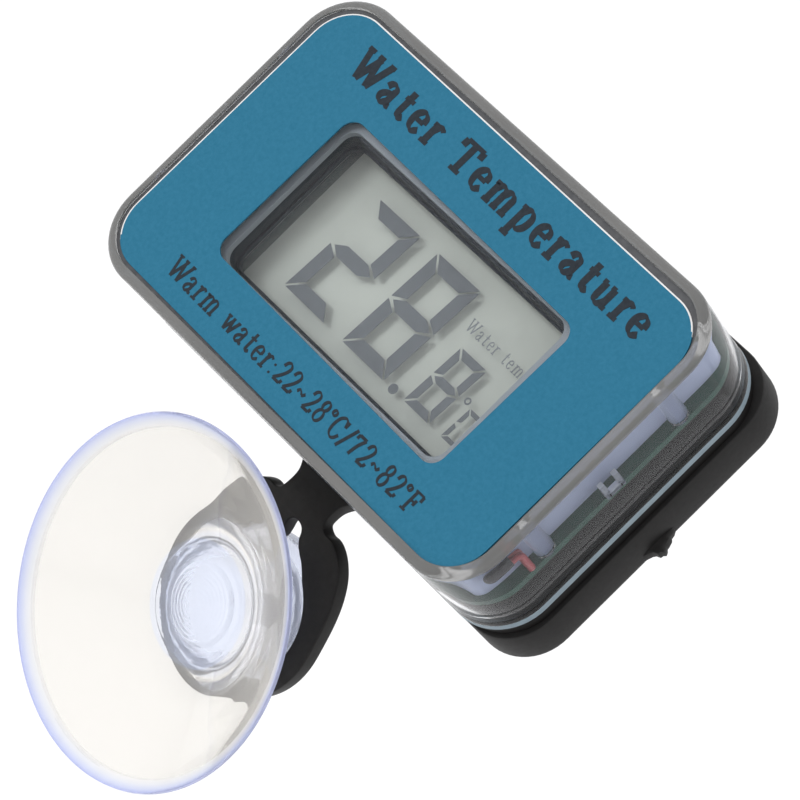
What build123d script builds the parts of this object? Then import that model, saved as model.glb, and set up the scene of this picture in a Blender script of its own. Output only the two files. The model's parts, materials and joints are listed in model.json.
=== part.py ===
from build123d import *
import math
import os

# Submersible digital aquarium thermometer on a suction cup, in millimetres.
#
# Row frame: the origin is the centre of the cup's rim, the cup opens towards -Y onto upright glass,
# X runs left to right along the display, +Z is up. The case leans back above the cup.
#
# Case frame: x left to right along the display, y up the display, z straight out of it, with z = 0
# at the front rim of the clear case. Everything in the case is drawn there and placed once.

# ---- driving dimensions -------------------------------------------------------------------------
CASE_L, CASE_W = 55.0, 33.8             # clear front case, outline at the rim
CASE_R = 5.8                            # its corner radius
CASE_EDGE_R = 0.95                      # rounding of the front rim
CASE_DRAFT = 0.25                       # each wall leans in this much from front to back
CASE_WALL = 1.3
CASE_FRONT_Z = -1.75                    # inside face of the front wall
CASE_BACK_Z = -12.0                     # open edge of the clear case
LIP_Z, LIP_OUT = -10.4, 0.1             # lip round the open edge: where it starts, how far it stands out

LABEL_L, LABEL_W, LABEL_R = 52.2, 31.1, 4.4
LABEL_RECESS, LABEL_THICK, LABEL_GAP = 0.35, 0.15, 0.7
WINDOW_L, WINDOW_W, WINDOW_R = 32.9, 17.1, 1.5
WINDOW_X, WINDOW_Y = 0.3, -1.05         # middle of the label's window

GASKET_BACK_Z = -13.5                   # the gasket fills the groove between case and cover
GASKET_INSET = 0.45                     # it lies this far inside the case's outline
COVER_BACK_Z = -18.5
COVER_R, COVER_EDGE_R = 5.1, 1.1        # corner radius and rounding of the back edge
COVER_Y = 0.3                           # the soft skirt sits this far above the case's middle
COVER_FLOOR = 1.5
SPIGOT_Z = -9.3                         # the cover's inner wall reaches up into the case to here
SPIGOT_GAP, SPIGOT_WALL = 0.12, 1.0

FRAME_L, FRAME_W = 48.0, 28.4           # white carrier that holds the display over the board
FRAME_FRONT_Z, FRAME_WALL = -1.85, 0.55
OPENING_L, OPENING_W = 31.55, 16.5      # the carrier's own window
OPENING_X, OPENING_Y = -0.22, -1.1
MASK_L, MASK_W = 31.95, 15.7                      # the mask's window
MASK_X, MASK_Y = -0.445, -1.25                    # wider to the left, narrower along the top
GLASS_L, GLASS_W = 37.0, 23.4
LCD_Z = -4.7                            # front of the display stack
POLARISER, GLASS_FRONT, GLASS_REAR, REFLECTOR = 0.15, 0.65, 1.1, 0.2      # thicknesses
SEGMENT_THICK, STACK_GAP = 0.06, 0.03
BOARD_Z = -7.2
BOARD_L, BOARD_W, BOARD_R, BOARD_THICK = 51.6, 30.6, 4.0, 0.8
CELL_D, CELL_H, CELL_CAP_H = 11.6, 5.4, 0.8      # LR44 button cell
CELL_X, CELL_Y = 7.2, -2.0
CELL_TOP_Z = -8.9

CUP_R = 17.1                            # suction cup, rim radius
CUP_CAVITY = 6.3                        # depth from the rim to the flat centre
COLLAR_R, NECK_R = 6.0, 5.7
PLATE_FRONT, PLATE_THICK = 12.6, 1.5    # the bracket's ring plate, behind the rim plane
PLATE_GAP = 0.12                        # free play of the plate on the neck, each side
HEAD_R, HEAD_BACK = 7.1, 16.4           # button head that keeps the cup in the ring
RING_Z, RING_R = 0.55, 8.75             # the ring hangs a little off the cup's axis
RING_HOLE_R = 6.5
CREASE_Z = 11.2                         # height of the bending crease above the cup's axis

TILT = 62.5                             # turns the display from facing up to leaning back 27.5 degrees
CUP_IN_CASE = (0.0, -35.3, -8.9)        # the cup's rim centre, in the case frame

to_row = Rot(TILT, 0, 0) * Pos(*[-v for v in CUP_IN_CASE])
THROUGH = 30.0                          # longer than any cut has to be


def to_case_point(y, z):
    """A row-frame point on the plane x = 0, as the case frame's (y, z)."""
    c, s = math.cos(math.radians(TILT)), math.sin(math.radians(TILT))
    return c * y + s * z + CUP_IN_CASE[1], -s * y + c * z + CUP_IN_CASE[2]


# ---- helpers ------------------------------------------------------------------------------------
def slab(length, width, radius, top, bottom, x=0.0, y=0.0):
    """A plate with rounded corners between two heights of the case frame."""
    outline = RectangleRounded(length, width, radius) if radius else Rectangle(length, width)
    return Pos(x, y, bottom) * extrude(outline, top - bottom)


def post(radius, top, bottom, x, y):
    return Pos(x, y, bottom) * extrude(Circle(radius), top - bottom)


def edges_at(shape, z):
    """The edges that lie wholly at one height."""
    return [e for e in shape.edges() if abs(e.bounding_box().min.Z - z) < 1e-3
            and abs(e.bounding_box().max.Z - z) < 1e-3]


def save(name, *solids):
    """Write one node in the row frame."""
    shape = solids[0] if len(solids) == 1 else Compound(list(solids))
    shape.label = name
    export_step(shape, f"parts/{name}.step")


def save_case(name, *solids):
    """Write one node that was drawn in the case frame."""
    flat = [s for part in solids for s in (to_row * part).solids()]
    save(name, *flat)


# ---- clear front case and label -----------------------------------------------------------------
BOARD_CLEARANCE = 0.1                   # posts and clips stop this far above the board
BOSS_R = 1.0
BOSS_AT = [(side * 25.3, y) for side in (1, -1) for y in (8.3, -7.7)]
CLIP_X, CLIP_Y, CLIP_TOP = 25.85, 0.1, -4.9      # U-shaped rib on each end wall that steadies the board
CLIP_DEEP, CLIP_LEG, CLIP_HALF, CLIP_FOOT = 0.8, 0.55, 0.8, 0.5


def front_case():
    rim = RectangleRounded(CASE_L, CASE_W, CASE_R)
    back_l, back_w, back_r = CASE_L - 2 * CASE_DRAFT, CASE_W - 2 * CASE_DRAFT, CASE_R - CASE_DRAFT
    shell = loft([rim.face(), (Pos(0, 0, CASE_BACK_Z) * RectangleRounded(back_l, back_w, back_r)).face()])
    shell = fillet(edges_at(shell, 0), CASE_EDGE_R)
    shell += slab(back_l + 2 * LIP_OUT, back_w + 2 * LIP_OUT, back_r + LIP_OUT, LIP_Z, CASE_BACK_Z)
    inner_l, inner_w = CASE_L - 2 * CASE_WALL, CASE_W - 2 * CASE_WALL
    shell -= slab(inner_l, inner_w, CASE_R - CASE_WALL, CASE_FRONT_Z, -THROUGH)
    recess_l, recess_w, recess_r = (v + LABEL_GAP for v in (LABEL_L, LABEL_W, LABEL_R))
    shell -= slab(recess_l, recess_w, recess_r, THROUGH, -LABEL_RECESS)
    foot = BOARD_Z + BOARD_CLEARANCE
    for x, y in BOSS_AT:
        shell += post(BOSS_R, CASE_FRONT_Z, foot, x, y)
    for x in (CLIP_X, -CLIP_X):
        for dy in (CLIP_HALF, -CLIP_HALF):
            shell += slab(CLIP_DEEP, CLIP_LEG, 0, CLIP_TOP, foot, x, CLIP_Y + dy)
        shell += slab(CLIP_DEEP, 2 * CLIP_HALF, 0, foot + CLIP_FOOT, foot, x, CLIP_Y)
    return shell


def face_label():
    sheet = slab(LABEL_L, LABEL_W, LABEL_R, LABEL_THICK - LABEL_RECESS, -LABEL_RECESS)
    return sheet - slab(WINDOW_L, WINDOW_W, WINDOW_R, THROUGH, -THROUGH, WINDOW_X, WINDOW_Y)


# ---- display stack ------------------------------------------------------------------------------
GLASS_Z = LCD_Z - POLARISER
SEGMENT_TOP = GLASS_Z - GLASS_FRONT - STACK_GAP
REAR_Z = SEGMENT_TOP - SEGMENT_THICK - STACK_GAP
REFLECTOR_Z = REAR_Z - GLASS_REAR
LEDGE = 3.0                             # the front glass overhangs the rear one here for its contacts
REAR_W, REAR_Y = GLASS_W - LEDGE, -LEDGE / 2
VIEW_L, VIEW_W = 34.6, 19.6             # polariser and reflector
MASK_STEP, MASK_STEP_Z = 0.25, -4.25    # the mask's foot stands in this much from here down
SCREW_AT = [(x, y) for x in (21.6, -21.6) for y in (12.0, -12.0)]
SCREW_PILOT_R, SCREW_PILOT_DEEP = 0.75, 3.6


def lcd_frame():
    """White carrier: a box open at the back, with the window through its front."""
    body = slab(FRAME_L, FRAME_W, 1.0, FRAME_FRONT_Z, BOARD_Z)
    body -= slab(OPENING_L, OPENING_W, WINDOW_R, THROUGH, -THROUGH, OPENING_X, OPENING_Y)
    body -= slab(GLASS_L + 0.4, GLASS_W + 0.4, 0.3, FRAME_FRONT_Z - FRAME_WALL, -THROUGH, WINDOW_X, 0)
    for x, y in SCREW_AT:
        body -= post(SCREW_PILOT_R, BOARD_Z + SCREW_PILOT_DEEP, -THROUGH, x, y)
    return body


def lcd_mask():
    """Dark gasket between the carrier's window and the display, with a stepped foot."""
    top = FRAME_FRONT_Z - FRAME_WALL - 0.05
    ring = slab(GLASS_L, GLASS_W, 0.3, top, LCD_Z, WINDOW_X, 0)
    step = 2 * MASK_STEP
    ring -= slab(MASK_L + step, MASK_W + step, WINDOW_R, 0, MASK_STEP_Z, MASK_X, MASK_Y)
    return ring - slab(MASK_L, MASK_W, WINDOW_R, 0, -THROUGH, MASK_X, MASK_Y)


def segment_outlines(w, h, t, gap):
    """Outlines of a seven-segment digit of width w, height h and bar thickness t, by segment letter."""
    m, g = h / 2, gap
    return {
        "a": [(g, h), (w - g, h), (w - t - g, h - t), (t + g, h - t)],
        "d": [(g, 0), (w - g, 0), (w - t - g, t), (t + g, t)],
        "f": [(0, h - g), (t, h - t - g), (t, m + t / 2 + g), (0, m + g)],
        "e": [(0, g), (t, t + g), (t, m - t / 2 - g), (0, m - g)],
        "b": [(w, h - g), (w - t, h - t - g), (w - t, m + t / 2 + g), (w, m + g)],
        "c": [(w, g), (w - t, t + g), (w - t, m - t / 2 - g), (w, m - g)],
        "g": [(0.2 * t + g, m), (t + g, m + t / 2), (w - t - g, m + t / 2),
              (w - 0.2 * t - g, m), (w - t - g, m - t / 2), (t + g, m - t / 2)],
    }


SLANT = 0.055                           # the digits lean to the right
FOOT_Y = -7.3                           # the line they stand on
DIGIT_W, DIGIT_H, DIGIT_BAR = 6.3, 11.8, 1.45
TENTH_W, TENTH_H, TENTH_BAR = 3.7, 7.0, 0.85
UNIT_W, UNIT_H, UNIT_BAR = 2.6, 3.6, 0.45


def digit(lit, x, w, h, t, gap=0.16):
    """Lit segments of one digit whose left foot is at x, as separate flat solids."""
    bars = []
    for letter, outline in segment_outlines(w, h, t, gap).items():
        if letter in lit:
            points = [(x + px + SLANT * py, FOOT_Y + py) for px, py in outline]
            face = make_face(Polyline(*points, close=True))
            bars.append(Pos(0, 0, SEGMENT_TOP - SEGMENT_THICK) * extrude(face, SEGMENT_THICK))
    return bars


def lcd_segments():
    """A reading of 28.8 degrees C."""
    bars = digit("abged", -11.75, DIGIT_W, DIGIT_H, DIGIT_BAR)
    bars += digit("abcdefg", -2.83, DIGIT_W, DIGIT_H, DIGIT_BAR)
    bars += digit("abcdefg", 6.48, TENTH_W, TENTH_H, TENTH_BAR)
    bars += digit("adef", 11.95, UNIT_W, UNIT_H, UNIT_BAR, 0.1)
    bottom = SEGMENT_TOP - SEGMENT_THICK
    bars.append(post(0.5, SEGMENT_TOP, bottom, 4.85, FOOT_Y + 0.1))
    ring = post(0.36, SEGMENT_TOP, bottom, 11.4, -3.4) - post(0.2, SEGMENT_TOP, bottom, 11.4, -3.4)
    return bars + [ring]


def zebra_strip():
    """Elastomer connector between the display's ledge and the board."""
    return slab(34.0, 1.5, 0, GLASS_Z - GLASS_FRONT, BOARD_Z, WINDOW_X, GLASS_W / 2 - 1.0)


# ---- circuit board and what it carries ----------------------------------------------------------
BOARD_BACK = BOARD_Z - BOARD_THICK
SCREW_R, SCREW_HEAD_R, SCREW_HEAD_H = 0.72, 1.6, 0.9
SLOT_L, SLOT_W = 2.0, 0.35
CHIP_Y, CHIP_R, CHIP_H, CHIP_DOME_R = 9.6, 3.9, 1.3, 4.4
CRYSTAL_X, CRYSTAL_Y, CRYSTAL_R, CRYSTAL_L = -12.0, 11.0, 1.0, 6.0


def circuit_board():
    board = slab(BOARD_L, BOARD_W, BOARD_R, BOARD_Z, BOARD_BACK)
    for x, y in SCREW_AT:
        board -= post(SCREW_R + 0.23, 0, -THROUGH, x, y)
    return board


def board_screws():
    """Self-tapping screws from behind the board into the carrier."""
    screws = []
    head_z = BOARD_BACK - SCREW_HEAD_H
    for x, y in SCREW_AT:
        screw = post(SCREW_R, BOARD_Z + SCREW_PILOT_DEEP - 0.2, BOARD_BACK, x, y)
        screw += post(SCREW_HEAD_R, BOARD_BACK, head_z, x, y)
        screw -= Pos(x, y, head_z) * Box(SLOT_L, SLOT_W, SCREW_HEAD_H)
        screw -= Pos(x, y, head_z) * Box(SLOT_W, SLOT_L, SCREW_HEAD_H)
        screws.append(screw)
    return screws


def chip_blob():
    """Round potting over the bare chip, on the back of the board between the cells."""
    dome = Pos(0, CHIP_Y, BOARD_BACK) * Sphere(CHIP_DOME_R)
    dome &= slab(3 * CHIP_R, 3 * CHIP_R, 0, BOARD_BACK, BOARD_BACK - CHIP_H, 0, CHIP_Y)
    return dome & post(CHIP_R, 0, -THROUGH, 0, CHIP_Y)


def crystal():
    """Watch crystal: a small can lying on the back of the board with two bent leads."""
    can_z = BOARD_BACK - CRYSTAL_R - 0.05
    can = Pos(CRYSTAL_X, CRYSTAL_Y, can_z) * Rot(0, 90, 0) * Cylinder(CRYSTAL_R, CRYSTAL_L)
    lead_x = CRYSTAL_X + CRYSTAL_L / 2 + 0.8
    leads = [slab(1.6, 0.3, 0, BOARD_BACK, BOARD_BACK - 1.0, lead_x, CRYSTAL_Y + dy) for dy in (-0.5, 0.5)]
    return [can] + leads


def chip_parts(places, length, width, height):
    return [slab(length, width, 0, BOARD_BACK, BOARD_BACK - height, x, y) for x, y in places]


# ---- temperature sensor -------------------------------------------------------------------------
BEAD_AT = (25.1, -11.5, -4.0)
BEAD_R, BEAD_L = 0.75, 1.8
LEAD_R, LEAD_PITCH, LEAD_REACH, LEAD_BEND = 0.35, 0.84, 0.95, 0.6


def thermistor():
    x, y, z = BEAD_AT
    return Pos(x, y, z) * Rot(90, 0, 0) * Cylinder(BEAD_R, BEAD_L) + Pos(x, y - BEAD_L / 2, z) * Sphere(BEAD_R)


def thermistor_leads():
    """Two insulated wires from the bead down to the board."""
    leads = []
    for side in (-1, 1):
        x, y, z = BEAD_AT[0] + side * LEAD_PITCH / 2, BEAD_AT[1] + BEAD_L / 2, BEAD_AT[2]
        down = y + LEAD_REACH
        path = FilletPolyline((x, y, z), (x, down, z), (x, down, BOARD_Z), radius=LEAD_BEND)
        leads.append(sweep(Plane(path @ 0, z_dir=path % 0) * Circle(LEAD_R), path))
    return leads


# ---- batteries ----------------------------------------------------------------------------------
HOLDER_L, HOLDER_W = 29.0, 14.6
HOLDER_BACK = -15.3
BRIDGE_THICK = 0.3


def battery_holder():
    """Moulded cradle under the board with a well for each cell."""
    block = slab(HOLDER_L, HOLDER_W, 2.0, BOARD_BACK, HOLDER_BACK, 0, CELL_Y)
    for x in (-CELL_X, CELL_X):
        block -= post(CELL_D / 2 + 0.25, 0, CELL_TOP_Z - CELL_H - 0.1, x, CELL_Y)
        block -= post(CELL_D / 2 - 1.0, 0, -THROUGH, x, CELL_Y)
    return block


def coin_cells():
    """Two button cells: a wide can and a smaller cap, one each way up."""
    cells = []
    for x, cap_up in ((-CELL_X, True), (CELL_X, False)):
        can_top = CELL_TOP_Z - (CELL_CAP_H if cap_up else 0)
        can_end = can_top - CELL_H + CELL_CAP_H
        can = post(CELL_D / 2, can_top, can_end, x, CELL_Y)
        can = fillet(edges_at(can, can_end if cap_up else can_top), 0.5)
        cap_top = CELL_TOP_Z if cap_up else can_end
        cells.append(can + post(CELL_D / 2 - 1.4, cap_top, cap_top - CELL_CAP_H, x, CELL_Y))
    return cells


def battery_contacts():
    """Sprung strip on the board over each cell."""
    strips = []
    base_back = BOARD_BACK - 0.25
    for x in (-CELL_X, CELL_X):
        base = slab(3.0, 4.0, 0, BOARD_BACK, base_back, x, CELL_Y)
        strips.append(base + slab(1.6, 3.0, 0, base_back, CELL_TOP_Z, x, CELL_Y))
    return strips


def contact_bridge():
    """Steel plate across the bottom of both wells that joins the cells in series."""
    bar = slab(2 * CELL_X + 6, 5.0, 0.6, HOLDER_BACK, HOLDER_BACK - BRIDGE_THICK, 0, CELL_Y)
    for x in (-CELL_X, CELL_X):
        bar += post(2.0, CELL_TOP_Z - CELL_H, HOLDER_BACK, x, CELL_Y)
    return bar


# ---- rubber rear cover with its root tab --------------------------------------------------------
TAB_HALF_W, TAB_FLARE, TAB_THICK = 2.95, 0.8, 1.55
CREASE_Y = PLATE_FRONT + PLATE_THICK / 2
CREASE_IN_CASE = to_case_point(CREASE_Y, CREASE_Z)
KNUCKLE_R = PLATE_THICK / 2
CREASE_GAP = 0.3
BURR_AT = (27.5, 0.0, -17.7)            # broken-off moulding gate on the right end of the cover
BURR_H = 1.1


def cover_gasket():
    shrink = 2 * GASKET_INSET
    ring = slab(CASE_L - shrink, CASE_W - shrink, CASE_R - GASKET_INSET, CASE_BACK_Z, GASKET_BACK_Z)
    inset = 2 * (CASE_WALL + SPIGOT_GAP)
    return ring - slab(CASE_L - inset, CASE_W - inset, CASE_R - inset / 2, 0, -THROUGH)


def root_tab():
    """Flat root of the bracket on the cover's lower side, flaring into the cover."""
    y_cover = COVER_Y - CASE_W / 2 + 0.5
    y_end = CREASE_IN_CASE[0] + KNUCKLE_R + CREASE_GAP
    wide = TAB_HALF_W + TAB_FLARE
    with BuildSketch() as outline:
        with BuildLine():
            right = Line((TAB_HALF_W, y_end), (TAB_HALF_W, y_end + 0.2))
            flare = ThreePointArc(right @ 1, (TAB_HALF_W + 0.15, y_end + 0.9), (wide, y_cover))
            top = Line(flare @ 1, (-wide, y_cover))
            left = ThreePointArc(top @ 1, (-TAB_HALF_W - 0.15, y_end + 0.9), (-TAB_HALF_W, y_end + 0.2))
            side = Line(left @ 1, (-TAB_HALF_W, y_end))
            Line(side @ 1, right @ 0)
        make_face()
    return Pos(0, 0, CREASE_IN_CASE[1] - TAB_THICK / 2) * extrude(outline.sketch, TAB_THICK)


def gate_burr():
    """Ragged stub where the mould's gate was twisted off."""
    stub = [(-0.4, 2.6), (0.4, 1.9), (0.9, 0.9), (1.5, -0.3), (1.2, -1.0), (0.4, -1.6), (-0.4, -3.0)]
    return Pos(*BURR_AT) * extrude(make_face(Polyline(*stub, close=True)), BURR_H)


def rear_cover():
    body = slab(CASE_L, CASE_W, COVER_R, GASKET_BACK_Z, COVER_BACK_Z, 0, COVER_Y)
    body = fillet(edges_at(body, COVER_BACK_Z), COVER_EDGE_R)
    inset = 2 * (CASE_WALL + SPIGOT_GAP)
    spigot_r = CASE_R - inset / 2
    body += slab(CASE_L - inset, CASE_W - inset, spigot_r, SPIGOT_Z, GASKET_BACK_Z)
    inner = inset + 2 * SPIGOT_WALL
    floor_z = COVER_BACK_Z + COVER_FLOOR
    body -= slab(CASE_L - inner, CASE_W - inner, spigot_r - SPIGOT_WALL, 0, floor_z)
    return body + root_tab() + gate_burr()


# ---- bracket ring -------------------------------------------------------------------------------
SLOT_X, SLOT_HALF, SLOT_TOP = 0.3, 0.95, 9.65    # slot above the hole, to push the cup's head through


def ring_plate_outline():
    """Half outline of the ring plate, from the bottom round the right side to the top."""
    with BuildSketch() as plate:
        with BuildLine():
            arc = CenterArc((0, RING_Z), RING_R, -90, 90)
            side = Line(arc @ 1, (RING_R - 0.1, 4.2))
            lean = ThreePointArc(side @ 1, (8.05, 7.3), (6.4, 9.8))
            crown = ThreePointArc(lean @ 1, (5.8, 10.4), (5.1, 10.75))
            top = Line(crown @ 1, (4.0, 10.95))
            valley = ThreePointArc(top @ 1, (3.3, 10.85), (TAB_HALF_W, 10.4))
            inner = Line(valley @ 1, (TAB_HALF_W, CREASE_Z))
            across = Line(inner @ 1, (0, CREASE_Z))
            Line(across @ 1, arc @ 0)
        make_face()
    return plate.sketch


def bracket_ring():
    half = ring_plate_outline()
    outline = half + mirror(half, Plane.YZ)
    plate = Pos(0, PLATE_FRONT + PLATE_THICK, 0) * Rot(90, 0, 0) * extrude(outline, PLATE_THICK)
    knuckle = Pos(0, CREASE_Y, CREASE_Z) * Rot(0, 90, 0) * Cylinder(KNUCKLE_R, 2 * TAB_HALF_W)
    across = 4 * PLATE_THICK
    hole = Pos(0, CREASE_Y, RING_Z) * Rot(90, 0, 0) * Cylinder(RING_HOLE_R, across)
    slot_end = SLOT_TOP - SLOT_HALF
    slot = Pos(SLOT_X, CREASE_Y, slot_end / 2) * Box(2 * SLOT_HALF, across, slot_end)
    slot += Pos(SLOT_X, CREASE_Y, slot_end) * Rot(90, 0, 0) * Cylinder(SLOT_HALF, across)
    return plate + knuckle - hole - slot


# ---- suction cup --------------------------------------------------------------------------------
LIP_THICK = 0.25


def suction_cup():
    """One moulding turned about the cup's axis: membrane, collar, neck and button head."""
    shelf_y, under_y = PLATE_FRONT - PLATE_GAP, PLATE_FRONT + PLATE_THICK + PLATE_GAP
    with BuildSketch(Plane.XY) as profile:
        with BuildLine():
            centre = Line((0, CUP_CAVITY), (NECK_R - 0.3, CUP_CAVITY))
            inner = Spline(centre @ 1, (NECK_R + 0.3, CUP_CAVITY - 0.35), (11.0, 3.45), (CUP_R - 0.35, 0),
                           tangents=((1, 0), (1, -0.42)))
            lip = Line(inner @ 1, (CUP_R, 0))
            edge = Line(lip @ 1, (CUP_R, LIP_THICK))
            back = Spline(edge @ 1, (11.6, 4.35), (8.0, 6.9), (COLLAR_R, 10.2),
                          tangents=((-0.8, 0.55), (0, 1)))
            step = Line(back @ 1, (COLLAR_R, shelf_y))
            shelf = Line(step @ 1, (NECK_R, shelf_y))
            neck = Line(shelf @ 1, (NECK_R, under_y))
            under = Line(neck @ 1, (HEAD_R, under_y))
            rim = Line(under @ 1, (HEAD_R, under_y + 0.8))
            dome = ThreePointArc(rim @ 1, (HEAD_R - 1.0, HEAD_BACK - 0.5), (4.4, HEAD_BACK))
            end = Line(dome @ 1, (0, HEAD_BACK))
            Line(end @ 1, centre @ 0)
        make_face()
    return revolve(profile.sketch, Axis.Y, 360)


# ---- write every node ---------------------------------------------------------------------------
os.makedirs("parts", exist_ok=True)

save_case("front_case", front_case())
save_case("face_label", face_label())

save_case("lcd_frame", lcd_frame())
save_case("lcd_mask", lcd_mask())
save_case("lcd_polariser", slab(VIEW_L, VIEW_W, 0, LCD_Z, GLASS_Z, WINDOW_X, WINDOW_Y))
save_case("lcd_front_glass", slab(GLASS_L, GLASS_W, 0, GLASS_Z, GLASS_Z - GLASS_FRONT, WINDOW_X, 0))
save_case("lcd_segments", *lcd_segments())
save_case("lcd_rear_glass", slab(GLASS_L, REAR_W, 0, REAR_Z, REFLECTOR_Z, WINDOW_X, REAR_Y))
save_case("lcd_reflector", slab(VIEW_L, VIEW_W, 0, REFLECTOR_Z, REFLECTOR_Z - REFLECTOR, WINDOW_X, WINDOW_Y))
save_case("zebra_strip", zebra_strip())

save_case("circuit_board", circuit_board())
save_case("board_screws", *board_screws())
save_case("chip_blob", chip_blob())
save_case("crystal", *crystal())
save_case("resistors", *chip_parts([(9.0, 11.5), (11.6, 11.5), (14.2, 11.5), (9.0, 9.0)], 1.2, 2.0, 0.5))
save_case("capacitors", *chip_parts([(-16.5, 8.0), (17.0, 8.6)], 2.0, 1.25, 1.0))
save_case("thermistor", thermistor())
save_case("thermistor_leads", *thermistor_leads())

save_case("battery_holder", battery_holder())
save_case("coin_cells", *coin_cells())
save_case("battery_contacts", *battery_contacts())
save_case("contact_bridge", contact_bridge())

save_case("cover_gasket", cover_gasket())
save_case("rear_cover", rear_cover())

save("bracket_ring", bracket_ring())
save("suction_cup", suction_cup())

print("crease in the row frame: y", round(CREASE_Y, 3), "z", CREASE_Z)
print("crease in the case frame:", [round(v, 3) for v in CREASE_IN_CASE])
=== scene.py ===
import bpy
import bmesh
import json
import math
from mathutils import Matrix, Vector

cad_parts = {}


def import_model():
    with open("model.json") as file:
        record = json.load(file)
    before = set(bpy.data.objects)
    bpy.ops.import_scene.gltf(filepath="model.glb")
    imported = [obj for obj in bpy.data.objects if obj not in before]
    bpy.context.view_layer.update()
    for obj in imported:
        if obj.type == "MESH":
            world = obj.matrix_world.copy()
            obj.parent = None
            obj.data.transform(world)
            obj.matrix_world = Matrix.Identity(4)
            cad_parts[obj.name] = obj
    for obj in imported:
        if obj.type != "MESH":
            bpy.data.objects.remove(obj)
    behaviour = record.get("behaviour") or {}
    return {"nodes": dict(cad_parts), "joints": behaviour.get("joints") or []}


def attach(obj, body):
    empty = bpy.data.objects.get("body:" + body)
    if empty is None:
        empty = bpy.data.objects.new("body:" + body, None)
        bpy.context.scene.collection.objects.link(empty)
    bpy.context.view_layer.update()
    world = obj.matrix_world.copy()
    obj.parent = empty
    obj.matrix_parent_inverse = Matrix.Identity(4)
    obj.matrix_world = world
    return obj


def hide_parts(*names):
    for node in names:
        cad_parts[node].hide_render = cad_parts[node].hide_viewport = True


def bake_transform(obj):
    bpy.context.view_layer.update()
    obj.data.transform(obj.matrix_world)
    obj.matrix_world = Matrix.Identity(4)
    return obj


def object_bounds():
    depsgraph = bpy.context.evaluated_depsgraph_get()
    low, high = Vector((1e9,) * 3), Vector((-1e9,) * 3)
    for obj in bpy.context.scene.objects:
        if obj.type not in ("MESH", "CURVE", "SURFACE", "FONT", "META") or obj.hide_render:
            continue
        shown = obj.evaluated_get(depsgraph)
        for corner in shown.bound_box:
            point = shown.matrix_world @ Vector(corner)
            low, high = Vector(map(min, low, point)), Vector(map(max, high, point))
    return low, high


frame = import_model()
cad_box = [list(corner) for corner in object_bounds()]

MM = 0.001
JOINTS = {j["name"]: j for j in frame["joints"]}
NODES = frame["nodes"]

# ---- the two drawing frames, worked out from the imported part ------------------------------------
# Case frame: x along the display, y up the display, z out of it, z = 0 on the front rim.
OUT = Vector(JOINTS["case_lift"]["axis"]).normalized()
RIGHT = Vector((1, 0, 0))
UP = OUT.cross(RIGHT)


def span(node, axis):
    """Lowest and highest reach of a node along an axis, in metres."""
    reach = [v.co.dot(axis) for v in NODES[node].data.vertices]
    return min(reach), max(reach)


def placed(x_axis, y_axis, z_axis, origin):
    """Matrix from millimetres in a drawing frame to metres in the row frame."""
    m = Matrix((x_axis, y_axis, z_axis)).transposed().to_4x4()
    return Matrix.Translation(origin) @ m @ Matrix.Scale(MM, 4)


low_y, high_y = span("front_case", UP)
CASE = placed(RIGHT, UP, OUT, OUT * span("front_case", OUT)[1] + UP * (low_y + high_y) / 2)
CASE_INV = CASE.inverted()
HALF_L, HALF_W = 27.5, 16.9               # outline at the rim, before its edge is rounded

# Cup frame: x right, y up, z out of the cup's mouth, z = 0 on the rim.
RIM_R = span("suction_cup", RIGHT)[1] / MM
OVAL = 0.967                              # the soft membrane hangs a little narrower than round
CUP_OUT = Vector(JOINTS["cup_swivel"]["axis"]).normalized()
CUP = placed(RIGHT, CUP_OUT.cross(RIGHT), CUP_OUT, Vector((0, 0, 0)))


def case_z(node):
    """Back and front of a node in the case frame, in millimetres."""
    reach = [(CASE_INV @ v.co).z for v in NODES[node].data.vertices]
    return min(reach), max(reach)


# ---- mesh helpers -------------------------------------------------------------------------------
def piece(name, verts, faces, matrix, material, crease=35, smooth=True):
    """A mesh object drawn in millimetres in one of the drawing frames."""
    me = bpy.data.meshes.new(name)
    me.from_pydata([matrix @ Vector(v) for v in verts], [], faces)
    me.validate()
    obj = bpy.data.objects.new(name, me)
    bpy.context.collection.objects.link(obj)
    tidy(obj, crease, smooth)
    me.materials.append(material)
    return obj


def tidy(obj, crease=35, smooth=True):
    """Outward normals, and smooth shading between faces that meet at less than the crease angle."""
    bm = bmesh.new()
    bm.from_mesh(obj.data)
    bmesh.ops.recalc_face_normals(bm, faces=bm.faces)
    bm.to_mesh(obj.data)
    bm.free()
    if smooth:
        obj.data.shade_smooth()
        obj.data.set_sharp_from_angle(angle=math.radians(crease))


def paint(obj, matrix, materials, choose):
    """Give each face the material that choose(centre in the drawing frame) picks by number."""
    inverse = matrix.inverted()
    for material in materials:
        obj.data.materials.append(material)
    for face in obj.data.polygons:
        face.material_index = choose(inverse @ face.center)


def rounded_rect(half_l, half_w, r, z, x=0.0, y=0.0, arc=14):
    """Points round a rectangle with rounded corners, anticlockwise."""
    r = max(r, 0.05)
    points = []
    for corner, (sx, sy) in enumerate(((1, 1), (-1, 1), (-1, -1), (1, -1))):
        for k in range(arc + 1):
            a = math.pi / 2 * (corner + k / arc)
            points.append((x + sx * (half_l - r) + r * math.cos(a),
                           y + sy * (half_w - r) + r * math.sin(a), z))
    return points


def circle(r, z, count, x=0.0, y=0.0):
    """Points round a circle, anticlockwise."""
    turns = [2 * math.pi * k / count for k in range(count)]
    return [(x + r * math.cos(a), y + r * math.sin(a), z) for a in turns]


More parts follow.
